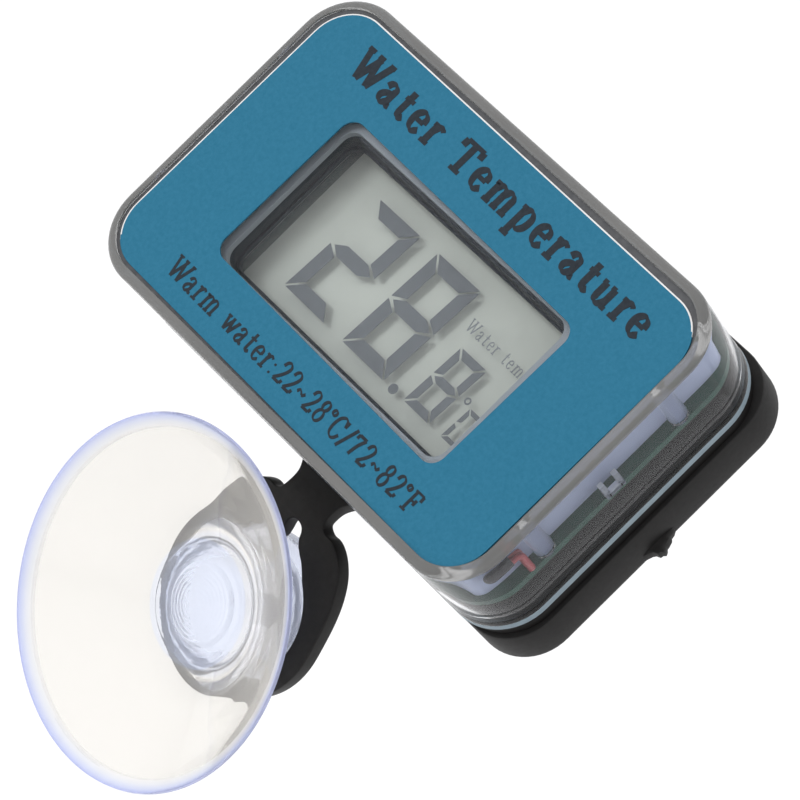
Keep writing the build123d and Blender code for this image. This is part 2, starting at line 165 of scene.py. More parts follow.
def skin(loops, closed=False):
    """Vertices and faces of a skin over loops of equal length: capped, or closed into a ring."""
    verts = [p for loop in loops for p in loop]
    n, faces = len(loops[0]), []
    rows = len(loops) if closed else len(loops) - 1
    for i in range(rows):
        a, b = i * n, (i + 1) % len(loops) * n
        faces += [(a + k, a + (k + 1) % n, b + (k + 1) % n, b + k) for k in range(n)]
    if not closed:
        faces.append(tuple(range(n))[::-1])
        faces.append(tuple(range((len(loops) - 1) * n, len(loops) * n)))
    return verts, faces


def joined(*parts):
    """Several (verts, faces) pairs as one."""
    verts, faces = [], []
    for v, f in parts:
        faces += [tuple(i + len(verts) for i in face) for face in f]
        verts += v
    return verts, faces


def smooth_path(points, steps=8):
    """Catmull-Rom curve through (r, z) points."""
    out = []
    for i in range(len(points) - 1):
        near = [max(0, min(len(points) - 1, i + k)) for k in (-1, 0, 1, 2)]
        p0, p1, p2, p3 = (Vector(points[k]) for k in near)
        for k in range(steps):
            t = k / steps
            out.append(tuple(0.5 * (2 * p1 + (p2 - p0) * t
                                    + (2 * p0 - 5 * p1 + 4 * p2 - p3) * t * t
                                    + (3 * p1 - p0 - 3 * p2 + p3) * t ** 3)))
    return out + [tuple(points[-1])]


# ---- materials ----------------------------------------------------------------------------------
# Noise scales are in features per metre and bump distances in metres.
LOW, HIGH = 0.3, 0.7                      # most of a noise lies between these
FINE_BUMP = 0.000008
LAMP_TINT = (0.93, 0.94, 0.97, 1)         # what the clear plastics let through to lamps


def set_stops(node, stops):
    """Fill a colour ramp with (position, colour) stops."""
    elements = node.color_ramp.elements
    while len(elements) < len(stops):
        elements.new(0.5)
    for element, (at, colour) in zip(elements, stops):
        element.position = at
        element.color = (*colour, 1)


class Mat:
    """A node material round one Principled shader."""

    def __init__(self, name, **values):
        self.mat = bpy.data.materials.new(name)
        self.mat.use_nodes = True
        self.nodes, self.links = self.mat.node_tree.nodes, self.mat.node_tree.links
        self.shader = self.nodes["Principled BSDF"]
        self.coords = self.node("ShaderNodeTexCoord").outputs["Object"]
        for key, value in values.items():
            self.shader.inputs[key.replace("_", " ")].default_value = value

    def node(self, kind, **settings):
        n = self.nodes.new(kind)
        for key, value in settings.items():
            setattr(n, key, value)
        return n

    def noise(self, scale, detail=3.0, rough=0.5, stretch=(1, 1, 1)):
        """Noise over the object."""
        m = self.node("ShaderNodeMapping")
        m.inputs["Scale"].default_value = stretch
        self.links.new(self.coords, m.inputs["Vector"])
        n = self.node("ShaderNodeTexNoise")
        n.inputs["Scale"].default_value = scale
        n.inputs["Detail"].default_value = detail
        n.inputs["Roughness"].default_value = rough
        self.links.new(m.outputs["Vector"], n.inputs["Vector"])
        return n.outputs["Fac"]

    def colour(self, factor, *stops):
        """Base colour from a factor, by (position, colour) stops."""
        r = self.node("ShaderNodeValToRGB")
        set_stops(r, stops)
        self.links.new(factor, r.inputs["Fac"])
        self.links.new(r.outputs["Color"], self.shader.inputs["Base Color"])

    def mottle(self, scale, low, high, detail=3.0, rough=0.5):
        """Base colour that wanders between two colours."""
        self.colour(self.noise(scale, detail, rough), (LOW, low), (HIGH, high))

    def rough(self, factor, low, high):
        m = self.node("ShaderNodeMapRange")
        m.inputs["To Min"].default_value, m.inputs["To Max"].default_value = low, high
        self.links.new(factor, m.inputs["Value"])
        self.links.new(m.outputs["Result"], self.shader.inputs["Roughness"])

    def bump(self, height, distance, strength):
        b = self.node("ShaderNodeBump")
        b.inputs["Distance"].default_value = distance
        b.inputs["Strength"].default_value = strength
        self.links.new(height, b.inputs["Height"])
        self.links.new(b.outputs["Normal"], self.shader.inputs["Normal"])

    def lets_lamps_through(self, tint):
        """Lamps reach what is behind this plastic; returns the finished material."""
        path = self.node("ShaderNodeLightPath")
        clear = self.node("ShaderNodeBsdfTransparent")
        clear.inputs["Color"].default_value = tint
        mix = self.node("ShaderNodeMixShader")
        self.links.new(path.outputs["Is Shadow Ray"], mix.inputs["Fac"])
        self.links.new(self.shader.outputs["BSDF"], mix.inputs[1])
        self.links.new(clear.outputs["BSDF"], mix.inputs[2])
        self.links.new(mix.outputs["Shader"], self.nodes["Material Output"].inputs["Surface"])
        return self.mat


def clear_case_material():
    m = Mat("clear_plastic", Transmission_Weight=1.0, IOR=1.55, Roughness=0.0,
            Base_Color=(0.97, 0.975, 0.99, 1), Specular_Tint=(0.12, 0.12, 0.13, 1))
    return m.lets_lamps_through(LAMP_TINT)


def rim_material():
    """The moulded rim round the label: half clear, half an even flat grey."""
    m = Mat("clear_plastic_rim", Transmission_Weight=0.5, IOR=1.3, Roughness=0.08,
            Specular_Tint=(0.5, 0.5, 0.5, 1))
    m.mottle(60, (0.25, 0.25, 0.245), (0.32, 0.315, 0.305), 2)
    return m.mat


def frosted_edge_material():
    """The clear case's matt back edge."""
    m = Mat("clear_plastic_edge", Roughness=0.6)
    m.mottle(800, (0.16, 0.215, 0.255), (0.20, 0.260, 0.300))
    m.bump(m.noise(2500, 2), 0.00002, 0.6)
    return m.mat


def soft_pvc_material():
    m = Mat("clear_pvc", Transmission_Weight=0.8, IOR=1.5, Roughness=0.03,
            Base_Color=(0.78, 0.82, 0.93, 1))
    m.rough(m.noise(500, 3), 0.01, 0.08)
    m.bump(m.noise(700, 3, 0.6), 0.00012, 0.45)
    return m.lets_lamps_through(LAMP_TINT)


def membrane_material(name, transmission):
    """The same soft PVC where it is thin: warm and clear inside, lilac towards its rim as a painted sheen.
    """
    m = Mat(name, Transmission_Weight=transmission, IOR=1.45, Roughness=0.03)
    flat = m.node("ShaderNodeMapping")
    flat.inputs["Scale"].default_value = (1 / OVAL, 0, 1)
    m.links.new(m.coords, flat.inputs["Vector"])
    radius = m.node("ShaderNodeVectorMath", operation="LENGTH")
    m.links.new(flat.outputs["Vector"], radius.inputs[0])
    spread = m.node("ShaderNodeMapRange")
    spread.inputs["From Max"].default_value = RIM_R * MM
    m.links.new(radius.outputs["Value"], spread.inputs["Value"])
    m.colour(spread.outputs["Result"], (0.92, (0.875, 0.855, 0.815)), (0.95, (0.80, 0.81, 0.84)),
             (0.975, (0.66, 0.70, 0.86)), (0.99, (0.52, 0.56, 0.82)))     # by share of the rim's radius
    m.rough(m.noise(260, 3), 0.0, 0.06)
    m.bump(m.noise(160, 2), 0.00005, 0.25)
    return m.lets_lamps_through((0.95, 0.95, 0.98, 1))


def label_material():
    m = Mat("label_blue", Roughness=0.45, Specular_IOR_Level=0.2)
    m.mottle(2600, (0.012, 0.122, 0.205), (0.020, 0.143, 0.235), 3, 0.7)
    m.bump(m.noise(3500, 2), 0.00001, 0.5)
    return m.mat


def ink_material():
    m = Mat("label_ink", Roughness=0.5, Specular_IOR_Level=0.3)
    m.mottle(3000, (0.008, 0.013, 0.019), (0.014, 0.021, 0.029), 2)
    return m.mat


def white_plastic_material():
    """The carrier: grey round the opening as painted shade, bluish towards both ends."""
    m = Mat("white_plastic", Roughness=0.38, Specular_IOR_Level=0.3)
    axes = m.node("ShaderNodeSeparateXYZ")
    m.links.new(m.coords, axes.inputs["Vector"])
    from_middle = m.node("ShaderNodeMath", operation="ABSOLUTE")
    m.links.new(axes.outputs["X"], from_middle.inputs[0])
    along = m.node("ShaderNodeMapRange")
    along.inputs["From Max"].default_value = HALF_L * MM
    m.links.new(from_middle.outputs["Value"], along.inputs["Value"])
    # the grey stop round the opening is painted shade
    m.colour(along.outputs["Result"], (0.68, (0.34, 0.375, 0.395)), (0.78, (0.41, 0.465, 0.62)))
    m.bump(m.noise(5000, 2), FINE_BUMP, 0.6)
    return m.mat


def black_rubber_material():
    m = Mat("black_rubber", Roughness=0.5, Specular_IOR_Level=0.22)
    m.colour(m.noise(1500, 5, 0.65),
             (0.25, (0.0085, 0.0080, 0.0078)), (0.75, (0.0140, 0.0132, 0.0130)))
    m.rough(m.noise(2500, 4), 0.42, 0.60)
    m.bump(m.noise(420, 2), 0.00003, 0.3)
    return m.mat


def mask_material():
    m = Mat("dark_mask", Roughness=0.6)
    m.mottle(1800, (0.035, 0.042, 0.048), (0.055, 0.064, 0.070))
    m.bump(m.noise(6000, 2), 0.00001, 0.6)
    return m.mat


def reflector_material():
    m = Mat("lcd_reflector", Roughness=0.55)
    m.mottle(7000, (0.59, 0.63, 0.545), (0.63, 0.67, 0.58), 3, 0.7)
    m.bump(m.noise(9000, 2), 0.000006, 0.6)
    return m.mat


def segment_material():
    m = Mat("lcd_segments", Roughness=0.45)
    m.mottle(5000, (0.066, 0.082, 0.096), (0.078, 0.094, 0.108), 2)
    return m.mat


def board_material():
    m = Mat("circuit_board", Roughness=0.45, Specular_IOR_Level=0.3)
    m.mottle(700, (0.008, 0.052, 0.034), (0.016, 0.070, 0.048), 4)
    m.bump(m.noise(1800, 2), 0.00001, 0.6)
    return m.mat


def metal_material(name, low, high, rough=0.25):
    m = Mat(name, Metallic=1.0)
    m.mottle(600, low, high)
    m.rough(m.noise(1500, 3, stretch=(1, 8, 1)), rough, rough + 0.15)      # brushed
    return m.mat


def plain_material(name, low, high, rough, **values):
    m = Mat(name, Roughness=rough, **values)
    m.mottle(1200, low, high)
    m.bump(m.noise(3600, 2), FINE_BUMP, 0.6)
    return m.mat


CLEAR = clear_case_material()
FROSTED = frosted_edge_material()
RIM = rim_material()
WORD_INK = plain_material("lcd_word_ink", (0.16, 0.18, 0.19), (0.20, 0.22, 0.23), 0.5)
# painted shade in the gap between the label and the rim
GAP_SHADE = plain_material("label_gap_painted_shade", (0.055, 0.057, 0.062), (0.085, 0.087, 0.092), 0.5)
# painted highlight on the label's upper and left edge
LABEL_EDGE_HIGHLIGHT = plain_material("label_edge_painted_highlight", (0.62, 0.61, 0.60), (0.74, 0.73, 0.72), 0.4)
# painted highlight and reflection on the clear clip ribs
CLIP_HIGHLIGHT = plain_material("clip_painted_highlight", (0.66, 0.70, 0.76), (0.80, 0.83, 0.88), 0.12)
# a darker, duller copy of the black rubber: painted shade on the spigot inside the case
RUBBER_SHADED = plain_material("black_rubber_painted_shade", (0.0015, 0.0015, 0.0015), (0.004, 0.004, 0.004),
                           0.8, Specular_IOR_Level=0.03)
PVC = soft_pvc_material()
PVC_MEMBRANE = membrane_material("clear_pvc_membrane", 0.86)
# more of the membrane's painted sheen in a ring inside its rim
PVC_RIM_SHEEN = membrane_material("clear_pvc_rim_painted_sheen", 0.6)
RUBBER = black_rubber_material()
INK = ink_material()
SEGMENT = segment_material()
STEEL = metal_material("steel", (0.55, 0.55, 0.54), (0.68, 0.68, 0.67))


# ---- clear front case ---------------------------------------------------------------------------
BASE_R, EDGE_R = 5.8, 0.95                # corner radius, rounding of the front edge
DRAFT = 0.25                              # the walls draw in this much from front to back
LIP_OUT, LIP_Z, LIP_BAND = 0.1, -10.4, 0.75
BACK_Z, FRONT_IN_Z = case_z("front_case")[0], -1.75
WALL = 1.3
RECESS_IN, RECESS_Z = 1.05, -0.35         # the shallow recess for the label
GAP_FLOOR = 0.8                           # strip of the recess floor beside its wall, painted dark as shade
LABEL_TOP = RECESS_Z + 0.17
FOOT_Z = case_z("circuit_board")[1] + 0.1  # the feet of posts and ribs, just off the board
POST_X, POST_YS, POST_R = 25.3, (8.3, -7.7), 1.0
CLIP_X, CLIP_Y, CLIP_TOP = 25.85, 0.1, -4.9


def case_loop(out, z):
    """A loop round the case, that far outside its basic outline."""
    return rounded_rect(HALF_L + out, HALF_W + out, BASE_R + out, z)


def front_case():
    lip = LIP_OUT - DRAFT
    wall_end = DRAFT * LIP_Z / -BACK_Z
    path = [(-RECESS_IN - GAP_FLOOR, RECESS_Z), (-RECESS_IN, RECESS_Z),
            (-RECESS_IN + 0.02, RECESS_Z + 0.02), (-RECESS_IN + 0.02, -0.06),
            (-RECESS_IN + 0.05, -0.01)]
    path += [(EDGE_R * (math.sin(a) - 1), EDGE_R * (math.cos(a) - 1)) for a in
             [math.pi / 2 * k / 12 for k in range(13)]]
    path += [(wall_end, LIP_Z + 0.2), (wall_end + 0.03, LIP_Z + 0.05),
             (lip - 0.03, LIP_Z - 0.03), (lip, LIP_Z - 0.12), (lip, LIP_Z - LIP_BAND),
             (lip, BACK_Z + 0.12), (lip - 0.1, BACK_Z),
             (-WALL + 0.1, BACK_Z), (-WALL, BACK_Z + 0.1), (-WALL, FRONT_IN_Z - 0.5),
             (-WALL - 0.15, FRONT_IN_Z - 0.15), (-WALL - 0.5, FRONT_IN_Z)]
    parts = [skin([case_loop(out, z) for out, z in path])]
    for side in (1, -1):
        parts += [post(side * POST_X, y) for y in POST_YS]
        parts.append(clip(side * CLIP_X, CLIP_Y))
    obj = piece("clear_case", *joined(*parts), CASE, CLEAR, crease=40)
    # painted shade goes on the gap beside the label
    paint(obj, CASE, [FROSTED, RIM, CLIP_HIGHLIGHT, GAP_SHADE], case_part)
    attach(obj, "case")
    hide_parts("front_case")


def beyond(p, half_l, half_w, r):
    """How far p lies outside a rounded rectangle (negative inside it)."""
    dx, dy = abs(p.x) - half_l + r, abs(p.y) - half_w + r
    return (math.hypot(dx, dy) if min(dx, dy) > 0 else max(dx, dy)) - r


def case_part(p):
    """Back edge and lip 1, moulded rim 2, end ribs with a painted highlight 3, painted shade beside the
    label 4, the rest 0.
    """
    out = beyond(p, HALF_L, HALF_W, BASE_R)
    if p.z < BACK_Z + 0.06 or (p.z < LIP_Z - LIP_BAND - 0.05 and out > -DRAFT):
        return 1
    if p.z > -EDGE_R and out > -RECESS_IN - GAP_FLOOR:
        return 2 if out > -RECESS_IN - 0.02 else 4
    at_clip = abs(p.x) > HALF_L - WALL - 1.2 and abs(p.y - CLIP_Y) < 1.1
    # the ribs' faces take the painted highlight
    rib = at_clip and out < -WALL - 0.15 and FOOT_Z - 0.01 < p.z < CLIP_TOP + 0.05
    return 3 if rib else 0


def post(x, y):
    """Round clear post from the front wall down to the board, with a domed foot."""
    return skin([circle(r, z, 32, x, y) for r, z in
                 ((POST_R, FRONT_IN_Z + 0.05), (POST_R, FOOT_Z + 0.4),
                  (POST_R - 0.15, FOOT_Z + 0.12), (POST_R - 0.5, FOOT_Z))])


def clip(x, y):
    """U-shaped rib on the end wall that steadies the board: two legs and the bar at their feet."""
    half_deep, half_leg, reach, bar = 0.4, 0.28, 0.8, 0.5
    legs = [skin([rounded_rect(half_deep, half_leg, 0.1, z, x, y + side * reach, 4)
                  for z in (CLIP_TOP, FOOT_Z)]) for side in (1, -1)]
    foot = skin([rounded_rect(half_deep, reach, 0.1, z, x, y, 4) for z in (FOOT_Z + bar, FOOT_Z)])
    return joined(*legs, foot)


# ---- label --------------------------------------------------------------------------------------
LABEL_HALF_L, LABEL_HALF_W, LABEL_R = 26.12, 15.52, 4.4
WINDOW = (0.09, -0.84, 16.44, 8.56, 1.5)  # centre x, y, half length, half width, corner
HIGHLIGHT_BAND = 0.13                               # width of the band round the label's edge that carries the painted highlight
HALF_DEGREE = Matrix.Rotation(math.radians(-0.5), 4, "Z")
ASKEW = Matrix.Translation((0.19, -0.2, 0)) @ HALF_DEGREE   # the label is stuck on a little askew,
CUT_ASKEW = HALF_DEGREE                                     # and its window is cut as much again


def face_label():
    top, bottom = LABEL_TOP, RECESS_Z + 0.01
    x, y, half_l, half_w, r = WINDOW
    outer = [rounded_rect(LABEL_HALF_L + d, LABEL_HALF_W + d, LABEL_R + d, z) for d, z in
             ((0, bottom), (0, top - 0.03), (-0.03, top), (-HIGHLIGHT_BAND - 0.01, top))]
    inner = [rounded_rect(half_l + d, half_w + d, r + d, z, x, y) for d, z in
             ((0.03, top), (0, top - 0.03), (0, bottom))]
    inner = [[tuple(CUT_ASKEW @ Vector(p)) for p in loop] for loop in inner]
    obj = piece("face_label_sheet", *skin(outer + inner, closed=True), CASE @ ASKEW,
                label_material())
    # the painted highlight goes on the label's upper and left edge
    paint(obj, CASE @ ASKEW, [LABEL_EDGE_HIGHLIGHT], label_part)
    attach(obj, "case")
    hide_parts("face_label")


def label_part(p):
    """Painted highlight along the upper and left edge 1, blue 0."""
    border = beyond(p, LABEL_HALF_L, LABEL_HALF_W, LABEL_R) > -HIGHLIGHT_BAND
    upper_left = p.x < -LABEL_HALF_L + 1.5 or p.y > LABEL_HALF_W - 1.5
    return 1 if border and upper_left and p.x < LABEL_HALF_L - 1 else 0


# ---- print --------------------------------------------------------------------------------------
PRINT_THICK = 0.015
STAGGER, LEVELS = 0.2, 6                  # crossing strokes differ in height by this share
NIB_ANGLE = math.radians(22)
# Each letter is a few pen strokes in units of the capital height: its advance, curved strokes,
# straight strokes, and the middles and half widths of its flat serifs.
LETTERS = {
    "W": (1.12, [], [((0.08, 0.97), (0.34, 0.02)), ((0.34, 0.02), (0.58, 0.93)), ((0.52, 0.97),
                     (0.78, 0.02)),
                     ((0.78, 0.02), (1.03, 0.97))], [(0.10, 0.97, 0.14), (0.54, 0.97, 0.12),
                     (1.03, 0.97, 0.12)]),
    "T": (0.80, [], [((0.40, 0.97), (0.40, 0.02)), ((0.05, 0.96), (0.75, 0.96)), ((0.06, 0.96),
                     (0.04, 0.72)),
                     ((0.74, 0.96), (0.76, 0.72))], [(0.40, 0.02, 0.20)]),
    "F": (0.72, [], [((0.20, 0.97), (0.20, 0.02)), ((0.08, 0.96), (0.63, 0.96)), ((0.63, 0.96),
                     (0.65, 0.70)),
                     ((0.20, 0.52), (0.46, 0.52)), ((0.47, 0.66), (0.47, 0.38))], [(0.20, 0.02, 0.17)]),
    "C": (0.78, [((0.67, 0.70), (0.56, 0.93), (0.38, 1.0), (0.17, 0.84), (0.10, 0.5), (0.17, 0.16),
                  (0.38, 0.0),
                  (0.57, 0.06), (0.69, 0.27))], [((0.68, 0.98), (0.68, 0.68))], []),
    "a": (0.64, [((0.11, 0.50), (0.17, 0.62), (0.30, 0.66), (0.42, 0.58), (0.43, 0.44)),
                 ((0.43, 0.40), (0.24, 0.34), (0.11, 0.20), (0.16, 0.05), (0.29, 0.03), (0.43, 0.15)),
                 ((0.43, 0.16), (0.48, 0.03), (0.60, 0.06))], [((0.43, 0.46), (0.43, 0.12))], []),
    "e": (0.60, [((0.50, 0.37), (0.47, 0.57), (0.31, 0.66), (0.15, 0.54), (0.11, 0.33), (0.17, 0.10),
                  (0.33, 0.01),
                  (0.51, 0.13))], [((0.13, 0.37), (0.51, 0.37))], []),
    "m": (1.04, [((0.17, 0.46), (0.27, 0.62), (0.40, 0.64), (0.50, 0.54), (0.51, 0.42)),
                 ((0.51, 0.46), (0.61, 0.62), (0.74, 0.64), (0.84, 0.54), (0.85, 0.42))],
          [((0.17, 0.64), (0.17, 0.02)), ((0.51, 0.46), (0.51, 0.02)), ((0.85, 0.46), (0.85, 0.02))],
          [(0.17, 0.02, 0.14), (0.51, 0.02, 0.13), (0.85, 0.02, 0.14), (0.11, 0.64, 0.08)]),
    "p": (0.68, [((0.17, 0.48), (0.28, 0.63), (0.42, 0.65), (0.54, 0.52), (0.56, 0.33), (0.51, 0.12),
                  (0.38, 0.01),
                  (0.26, 0.03), (0.17, 0.14))], [((0.17, 0.64), (0.17, -0.30))],
          [(0.17, -0.30, 0.15), (0.11, 0.64, 0.08)]),
    "r": (0.50, [((0.17, 0.42), (0.25, 0.60), (0.37, 0.66), (0.46, 0.58))], [((0.17, 0.64), (0.17, 0.02))],
          [(0.17, 0.02, 0.16), (0.11, 0.64, 0.08)]),
    "t": (0.46, [((0.20, 0.22), (0.23, 0.06), (0.32, 0.02), (0.42, 0.10))],
          [((0.20, 0.90), (0.20, 0.16)), ((0.04, 0.63), (0.40, 0.63))], []),
    "u": (0.72, [((0.17, 0.22), (0.21, 0.05), (0.33, 0.01), (0.45, 0.08), (0.52, 0.20))],
          [((0.17, 0.64), (0.17, 0.18)), ((0.52, 0.64), (0.52, 0.02))],
          [(0.11, 0.64, 0.08), (0.46, 0.64, 0.08), (0.59, 0.02, 0.09)]),
    "w": (0.86, [], [((0.07, 0.63), (0.25, 0.02)), ((0.25, 0.02), (0.43, 0.60)), ((0.40, 0.63),
                     (0.58, 0.02)),
                     ((0.58, 0.02), (0.77, 0.63))], [(0.09, 0.64, 0.12), (0.41, 0.64, 0.08),
                     (0.77, 0.64, 0.10)]),
    "2": (0.64, [((0.12, 0.74), (0.18, 0.93), (0.34, 1.0), (0.50, 0.88), (0.50, 0.68), (0.36, 0.40),
          (0.09, 0.06))],
          [((0.09, 0.07), (0.54, 0.07)), ((0.09, 0.04), (0.54, 0.04)), ((0.54, 0.06), (0.57, 0.22))], []),
    "7": (0.64, [((0.54, 0.92), (0.36, 0.52), (0.27, 0.02))],
          [((0.08, 0.95), (0.55, 0.95)), ((0.08, 0.91), (0.55, 0.91)), ((0.08, 0.95), (0.07, 0.74))], []),
    "8": (0.64, [tuple((0.32 + 0.17 * math.sin(k * math.pi / 8), 0.77 + 0.21 * math.cos(k * math.pi / 8))
                       for k in range(17)),
                 tuple((0.32 + 0.21 * math.sin(k * math.pi / 8), 0.28 + 0.27 * math.cos(k * math.pi / 8))
                       for k in range(17))], [], []),
    "~": (0.62, [((0.06, 0.38), (0.16, 0.50), (0.29, 0.45), (0.42, 0.37), (0.54, 0.50))], [], []),
    "°": (0.30, [tuple((0.15 + 0.11 * math.sin(k * math.pi / 6), 0.84 + 0.11 * math.cos(k * math.pi / 6))
                       for k in range(13))], [], []),
    "/": (0.46, [], [((0.04, -0.10), (0.42, 1.02))], []),
    ":": (0.32, [], [((0.10, 0.08), (0.22, 0.08)), ((0.10, 0.50), (0.22, 0.50))], []),
    " ": (0.42, [], [], []),
}


def stroke(points, thin, thick, height):
    """A pen stroke as a thin closed solid; the pen is broad at right angles to its own slant."""
    left, right = [], []
    for i, p in enumerate(points):
        along = Vector(points[min(i + 1, len(points) - 1)]) - Vector(points[max(i - 1, 0)])
        heading = math.atan2(along.y, along.x)
        half = (thin + (thick - thin) * abs(math.sin(heading + NIB_ANGLE))) / 2
        side = Vector((-math.sin(heading), math.cos(heading))) * half
        left.append((p[0] + side.x, p[1] + side.y))
        right.append((p[0] - side.x, p[1] - side.y))
    n, verts, faces = len(points), [], []
    for z in (0.0, height):
        verts += [(x, y, z) for x, y in left + right[::-1]]
    loop = 2 * n
    for k in range(n - 1):
        faces.append((k, k + 1, loop - 2 - k, loop - 1 - k))
        faces.append(tuple(loop + i for i in (loop - 1 - k, loop - 2 - k, k + 1, k)))
    faces += [(k, loop + k, loop + (k + 1) % loop, (k + 1) % loop) for k in range(loop)]
    return verts, faces


def printed(name, words, cap, width, x, y, z, weight, material,
            gap=0.12, body="case"):
    """A line of print with the given capital height and total width, starting at (x, y)."""
    thin, thick = 0.36 * weight, weight
    strokes, at = [], 0.0
    for letter in words:
        advance, curves, lines, serifs = LETTERS[letter]
        for points in curves:
            strokes.append([(at + px, py) for px, py in smooth_path(points, 5)])
        for points in lines:
            strokes.append([(at + px, py) for px, py in points])
        for sx, sy, half in serifs:
            strokes.append([(at + sx - half, sy), (at + sx + half, sy)])
        at += advance + gap
    verts, faces = joined(*[stroke(points, thin, thick, 1.0 + STAGGER * (k % LEVELS))
                            for k, points in enumerate(strokes)])
    sx = width / (at - gap)
    verts = [(x + vx * sx, y + vy * cap, z + vz * PRINT_THICK) for vx, vy, vz in verts]
    obj = piece(name, verts, faces, CASE @ ASKEW if body == "case" else CASE, material, smooth=False)
    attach(obj, body)


# ---- rear cover ---------------------------------------------------------------------------------
COVER_R, COVER_Y, COVER_BEND = 5.1, 0.3, 1.1   # corner radius, shift up, rounding of the back edge
COVER_WALL, COVER_FLOOR = 1.0, 1.5
GASKET_Z, COVER_Z = case_z("cover_gasket")[0], case_z("rear_cover")[0]
BURR = (27.5, 0.0, -17.2)                 # middle of the broken-off moulding gate


def cover_loop(out, z):
    return rounded_rect(HALF_L + out, HALF_W + out, COVER_R + out, z, 0, COVER_Y)


def rear_cover():
    spigot_out = -WALL - 0.12
    spigot_in = spigot_out - COVER_WALL
    spigot_top, floor_z = case_z("rear_cover")[1], COVER_Z + COVER_FLOOR
    loops = [case_loop(out, z) for out, z in
             ((spigot_in, floor_z), (spigot_in, spigot_top), (spigot_out - 0.1, spigot_top),
              (spigot_out, spigot_top - 0.1), (spigot_out, GASKET_Z + 0.02))]
    loops += [cover_loop(out, z) for out, z in
              ((-0.25, GASKET_Z + 0.02), (-0.08, GASKET_Z - 0.02), (0.0, GASKET_Z - 0.14))]
    loops += [cover_loop(COVER_BEND * (math.cos(a) - 1), COVER_Z + COVER_BEND * (1 - math.sin(a)))
              for a in [math.pi / 2 * k / 10 for k in range(11)]]
    obj = piece("rubber_cover", *joined(skin(loops), gate_burr()), CASE, RUBBER, crease=40)
    # painted shade on the spigot inside the case
    paint(obj, CASE, [RUBBER_SHADED], lambda p: 1 if p.z > GASKET_Z + 0.1 else 0)
    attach(obj, "cover")
    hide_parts("rear_cover")


def gate_burr():
    """Torn stub: a ragged outline, each level of it pulled a little further in."""
    ragged = ((-0.4, 2.7), (0.06, 2.2), (0.34, 1.75), (0.42, 1.3), (0.72, 1.05), (0.95, 0.45),
              (1.02, 0.1), (1.32, -0.15), (1.5, -0.5), (1.22, -0.75), (1.15, -1.1), (0.62, -1.3),
              (0.34, -1.65), (0.05, -2.4), (-0.4, -3.1))
    x, y, z = BURR
    loops = []
    for level, shrink in ((-0.55, 0.80), (-0.42, 0.97), (0.1, 1.0), (0.42, 0.93), (0.55, 0.70)):
        loops.append([(x + px * (0.8 * shrink if px > 0 else 1), y + 0.8 * py * shrink, z + level)
                      for px, py in ragged])
    return skin(loops)


# ---- rubber bracket: root tab, crease and ring in one skin ---------------------------------------
HINGE = Vector(JOINTS["bracket_flex"]["pos_m"]) / MM      # in the row frame, millimetres
TILT = math.atan2(UP.z, UP.y) - math.pi / 2               # the tab leans this much from the ring's plane
THICK, CREASE = 1.52, 1.1                 # thickness, and the length over which it bends
RING_Z, RING_R, HOLE_Z, HOLE_R = 0.55, 8.75, 0.5, 6.5
CUTS, CUT_SPAN = 16, 2.2                  # rows of vertices across the crease, so that it can bend


def bracket_outline():
    """Half outline of the flat pattern: x to the right, s upwards from the cup's axis."""
    ring = [(RING_R * math.sin(a), RING_Z - RING_R * math.cos(a))
            for a in [math.pi / 2 * k / 20 for k in range(21)]]
    sides = [(8.72, 2.4), (8.62, 4.2), (8.35, 6.0), (7.85, 7.6), (7.2, 8.8), (6.3, 9.8), (5.4, 10.4),
             (4.6, 10.65), (3.85, 10.62), (3.3, 10.85), (3.0, 11.3), (2.93, 11.9), (2.98, 12.6),
             (3.2, 13.2), (3.75, 14.0)]
    return ring + smooth_path([ring[-1]] + sides, 3)[1:]


def bracket_hole():
    """The ring's hole with the push-through slot above it, clockwise."""
    arc = [(HOLE_R * math.sin(a), HOLE_Z + HOLE_R * math.cos(a)) for a in
           [math.radians(40 + 306 * k / 70) for k in range(71)]]
    slot = [arc[-1], (-1.0, 6.98), (-0.74, 7.35), (-0.66, 8.1), (-0.64, 9.0), (-0.3, 9.5),
            (0.3, 9.68), (0.95, 9.5), (1.28, 9.05), (1.4, 8.5), (1.75, 7.9), (2.35, 7.35),
            (3.1, 6.75), arc[0]]
    return arc + smooth_path(slot, 4)[1:-1]


def bend_up(x, s, depth):
    """Flat pattern to the row frame: beyond the crease the pattern leans with the case."""
    start = HINGE.z - CREASE / 2

    def lean(distance):
        t = min(max(distance / CREASE, 0), 1)
        return TILT * t * t * (3 - 2 * t)

    over = s - start
    y, z, steps = HINGE.y - 0.05, start, 12
    if over <= 0:
        return (x, y + depth, s)
    for k in range(steps):
        a = lean((k + 0.5) / steps * over)
        y -= math.sin(a) * over / steps
        z += math.cos(a) * over / steps
    return (x, y + depth * math.cos(lean(over)), z + depth * math.sin(lean(over)))


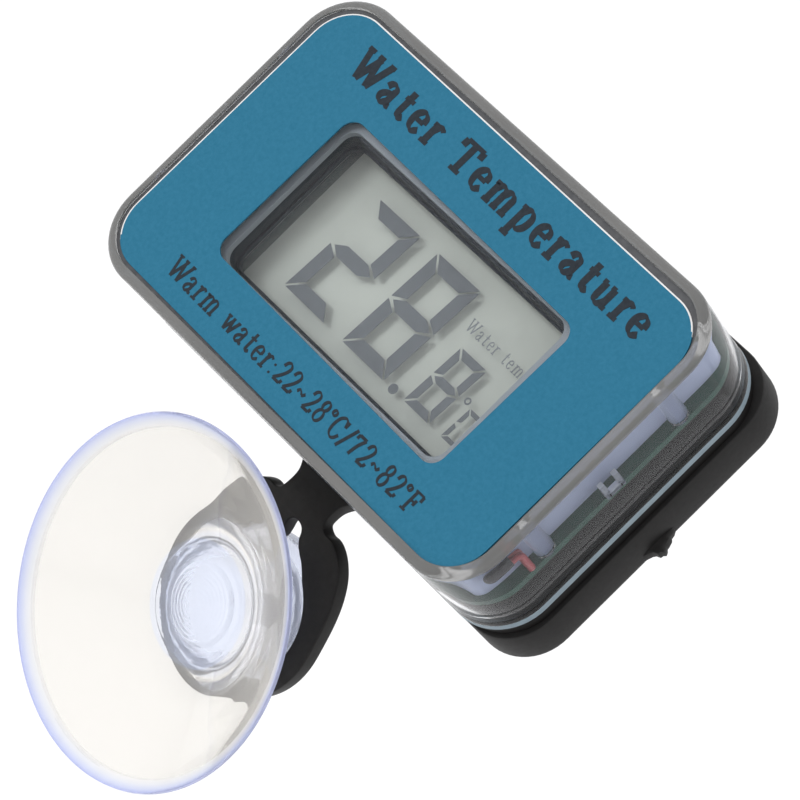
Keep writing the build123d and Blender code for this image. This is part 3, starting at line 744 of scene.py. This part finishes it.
def bracket():
    half = bracket_outline()
    outline = half + [(-x, s) for x, s in reversed(half[1:])]
    inner = bracket_hole()
    curve = bpy.data.curves.new("bracket", "CURVE")
    curve.dimensions = "2D"
    curve.fill_mode = "BOTH"
    bevel = 0.16
    curve.bevel_depth, curve.bevel_resolution = bevel, 3
    curve.extrude = THICK / 2 - bevel
    curve.offset = -bevel
    for loop in (outline, inner):
        spline = curve.splines.new("POLY")
        spline.points.add(len(loop) - 1)
        for point, (x, s) in zip(spline.points, loop):
            point.co = (x, s, 0, 1)
        spline.use_cyclic_u = True
    obj = bpy.data.objects.new("bracket_curve", curve)
    bpy.context.collection.objects.link(obj)
    bpy.context.view_layer.update()
    me = bpy.data.meshes.new_from_object(obj.evaluated_get(bpy.context.evaluated_depsgraph_get()))
    bpy.data.objects.remove(obj)
    bm = bmesh.new()
    bm.from_mesh(me)
    bmesh.ops.remove_doubles(bm, verts=bm.verts, dist=0.001)
    for k in range(CUTS):
        s = HINGE.z - 1.0 + CUT_SPAN * k / (CUTS - 1)
        geometry = bm.verts[:] + bm.edges[:] + bm.faces[:]
        bmesh.ops.bisect_plane(bm, geom=geometry, plane_co=(0, s, 0), plane_no=(0, 1, 0))
    bmesh.ops.recalc_face_normals(bm, faces=bm.faces)
    bm.to_mesh(me)
    bm.free()
    for v in me.vertices:
        v.co = Vector(bend_up(v.co.x, v.co.y, -v.co.z)) * MM
    me.materials.append(RUBBER)
    obj = bpy.data.objects.new("rubber_bracket", me)
    bpy.context.collection.objects.link(obj)
    tidy(obj, 40)
    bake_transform(obj)
    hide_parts("bracket_ring")


# ---- suction cup --------------------------------------------------------------------------------
NECK_R = 5.75
MEMBRANE_Z = -11                          # nothing behind this is membrane


def cup_loop(r, z):
    """A turned loop; the membrane gets narrower towards its rim, the neck stays round."""
    t = min(max((r - NECK_R) / (RIM_R - NECK_R), 0), 1) if z > MEMBRANE_Z else 0
    return [(x * (1 - (1 - OVAL) * t), y, z) for x, y, z in circle(r, z, 192)]


def suction_cup():
    inner = smooth_path([(5.3, -6.3), (5.75, -6.12), (8.0, -5.05), (11.0, -3.45), (14.4, -1.5),
                         (RIM_R - 0.3, -0.02)], 14)
    outer = smooth_path([(RIM_R, -0.26), (14.6, -2.2), (11.5, -4.2), (8.6, -6.1), (6.6, -8.2),
                         (5.85, -10.4)], 14)
    rings = []                                            # tool marks on the hub's flat
    for k in range(8):
        r, z = 0.35 + 0.42 * k, -6.10 - 0.05 * k
        rings += [(r, z), (r + 0.10, z + 0.03), (r + 0.22, z + 0.01), (r + 0.30, z - 0.04)]
    centre = [(0.06, -6.1)] + rings + [(3.9, -6.75), (4.5, -6.72), (4.9, -6.5)]
    back = [(NECK_R, -12.3), (5.7, -12.5), (5.7, -14.16), (5.78, -14.22), (6.9, -14.22),
            (7.1, -14.4), (7.1, -15.1)]
    dome = [(6.1 + math.cos(a), -15.4 - math.sin(a)) for a in
            [math.pi / 2 * k / 6 for k in range(7)]]
    path = centre + inner + [(RIM_R - 0.1, 0.0)] + outer + back + dome + [(4.0, -16.4), (0.06, -16.4)]
    obj = piece("sucker", *skin([cup_loop(r, z) for r, z in path]), CUP, PVC, crease=30)
    # the ring inside the rim takes more of the painted sheen
    paint(obj, CUP, [PVC_MEMBRANE, PVC_RIM_SHEEN], cup_part)
    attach(obj, "cup")
    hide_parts("suction_cup")


def cup_part(p):
    """Membrane 1, the duller ring inside its rim with more of the painted sheen 2, hub and neck 0."""
    if math.hypot(p.x, p.y) < NECK_R + 0.1 or p.z < -8.4:
        return 0
    return 2 if math.hypot(p.x / OVAL, p.y) > 0.93 * RIM_R else 1


# ---- what lies inside the case ------------------------------------------------------------------
def inside():
    materials = {
        "lcd_frame": white_plastic_material(),
        "lcd_mask": mask_material(),
        "lcd_polariser": plain_material("polariser", (0.62, 0.64, 0.60), (0.66, 0.68, 0.64), 0.4,
                                        Alpha=0.04),
        "lcd_front_glass": plain_material("lcd_glass", (0.8, 0.83, 0.8), (0.84, 0.86, 0.83), 0.08,
                                          Alpha=0.02),
        "lcd_segments": SEGMENT,
        "lcd_rear_glass": plain_material("lcd_rear", (0.8, 0.83, 0.8), (0.84, 0.86, 0.83), 0.08,
                                         Alpha=0.02),
        "lcd_reflector": reflector_material(),
        "zebra_strip": plain_material("zebra", (0.30, 0.16, 0.15), (0.42, 0.24, 0.22), 0.6),
        "circuit_board": board_material(),
        "board_screws": STEEL,
        "chip_blob": plain_material("potting", (0.008, 0.008, 0.009), (0.016, 0.016, 0.017), 0.18),
        "crystal": STEEL,
        "resistors": plain_material("chip_black", (0.01, 0.01, 0.012), (0.03, 0.03, 0.03), 0.35),
        "capacitors": plain_material("chip_tan", (0.22, 0.14, 0.08), (0.32, 0.21, 0.12), 0.4),
        "thermistor": plain_material("sensor_epoxy", (0.01, 0.01, 0.012), (0.03, 0.03, 0.035), 0.2),
        "thermistor_leads": plain_material("red_wire", (0.30, 0.05, 0.06), (0.38, 0.08, 0.09), 0.3),
        "battery_holder": plain_material("holder_black", (0.012, 0.012, 0.013), (0.025, 0.025, 0.026), 0.4),
        "coin_cells": metal_material("cell_steel", (0.60, 0.60, 0.58), (0.72, 0.72, 0.70), 0.18),
        "battery_contacts": metal_material("spring_steel", (0.62, 0.58, 0.45), (0.72, 0.68, 0.55), 0.2),
        "contact_bridge": metal_material("bridge_steel", (0.62, 0.58, 0.45), (0.72, 0.68, 0.55), 0.2),
        "cover_gasket": plain_material("gasket", (0.002, 0.0015, 0.0015), (0.004, 0.003, 0.003), 0.6,
                                       Specular_IOR_Level=0.2),
    }
    for node, material in materials.items():
        for slot in NODES[node].material_slots:
            slot.material = material


# ---- floor, light, camera -----------------------------------------------------------------------
def floor():
    size, drop = 3.0, 0.09                                # the object hangs clear above the floor
    z = cad_box[0][2] - drop
    me = bpy.data.meshes.new("floor")
    corners = [(-size, -size, z), (size, -size, z), (size, size, z), (-size, size, z)]
    me.from_pydata(corners, [], [(0, 1, 2, 3)])
    obj = bpy.data.objects.new("floor", me)
    bpy.context.collection.objects.link(obj)
    m = Mat("floor", Roughness=0.9)
    m.mottle(3, (0.93, 0.93, 0.93), (0.95, 0.95, 0.95), 2)
    me.materials.append(m.mat)


def world():
    """A pale room, greyer below and brightest overhead."""
    w = bpy.data.worlds.new("studio")
    bpy.context.scene.world = w
    w.use_nodes = True
    nodes, links = w.node_tree.nodes, w.node_tree.links
    back = nodes["Background"]
    coords = nodes.new("ShaderNodeTexCoord")
    axes = nodes.new("ShaderNodeSeparateXYZ")
    links.new(coords.outputs["Generated"], axes.inputs["Vector"])
    ramp = nodes.new("ShaderNodeValToRGB")
    levels = ((0.0, 0.35), (0.42, 0.45), (0.60, 0.95), (1.0, 1.15))
    set_stops(ramp, [(at, (level, level, level * 1.01)) for at, level in levels])
    scaled = nodes.new("ShaderNodeMapRange")
    scaled.inputs["From Min"].default_value = -1
    links.new(axes.outputs["Z"], scaled.inputs["Value"])
    links.new(scaled.outputs["Result"], ramp.inputs["Fac"])
    links.new(ramp.outputs["Color"], back.inputs["Color"])
    back.inputs["Strength"].default_value = 1.0


def area(name, target, direction, distance, size, power):
    """A softbox that shines on target from a direction, and isn't mirrored in plastic."""
    light = bpy.data.lights.new(name, "AREA")
    light.shape, light.size, light.energy = "SQUARE", size, power
    obj = bpy.data.objects.new(name, light)
    obj.visible_glossy = obj.visible_transmission = False
    bpy.context.collection.objects.link(obj)
    d = Vector(direction).normalized()
    obj.location = Vector(target) + d * distance
    obj.rotation_mode = "QUATERNION"
    obj.rotation_quaternion = (-d).to_track_quat("-Z", "Y")


def camera():
    """The camera; returns the point that it looks at."""
    azimuth, elevation, roll = (math.radians(a) for a in (36.53, 20.44, 29.44))
    back = Vector((math.sin(azimuth) * math.cos(elevation),
                   -math.cos(azimuth) * math.cos(elevation), math.sin(elevation)))
    level = (-back).cross(Vector((0, 0, 1))).normalized()
    rise = level.cross(-back)
    right = level * math.cos(roll) + rise * math.sin(roll)
    up = rise * math.cos(roll) - level * math.sin(roll)
    centre = right * 0.02206 + up * 0.01787                # from the cup's rim centre
    cam = bpy.data.cameras.new("camera")
    cam.lens, cam.sensor_width = 229.02, 36
    cam.clip_start, cam.clip_end = 0.01, 20
    obj = bpy.data.objects.new("camera", cam)
    bpy.context.collection.objects.link(obj)
    turn = Matrix((right, up, back)).transposed()
    obj.rotation_mode = "QUATERNION"
    obj.rotation_quaternion = turn.to_quaternion()
    obj.location = centre + back * 0.44882
    bpy.context.scene.camera = obj
    return centre


front_case()
face_label()
printed("title_print", "Water Temperature", 3.1, 41.8, -20.3, 10.4, LABEL_TOP, 0.235, INK)
printed("range_print", "Warm water:22~28°C/72~82°F", 2.1, 36.6, -18.4, -13.7, LABEL_TOP, 0.17, INK,
        gap=0.09)
printed("lcd_word", "Water temp", 1.3, 8.8, 5.6, 1.1, case_z("lcd_segments")[1] - 0.02, 0.12,
        WORD_INK, body="module")
rear_cover()
bracket()
suction_cup()
inside()
floor()
world()
area("key", camera(), OUT * 0.97 - RIGHT * 0.24, 0.6, 0.17, 1.15)

scene = bpy.context.scene
scene.cycles.max_bounces = 16                             # light travels far inside clear plastic
scene.cycles.glossy_bounces = 8
scene.cycles.transmission_bounces = 16
scene.cycles.transparent_max_bounces = 16
scene.view_settings.view_transform = "Standard"
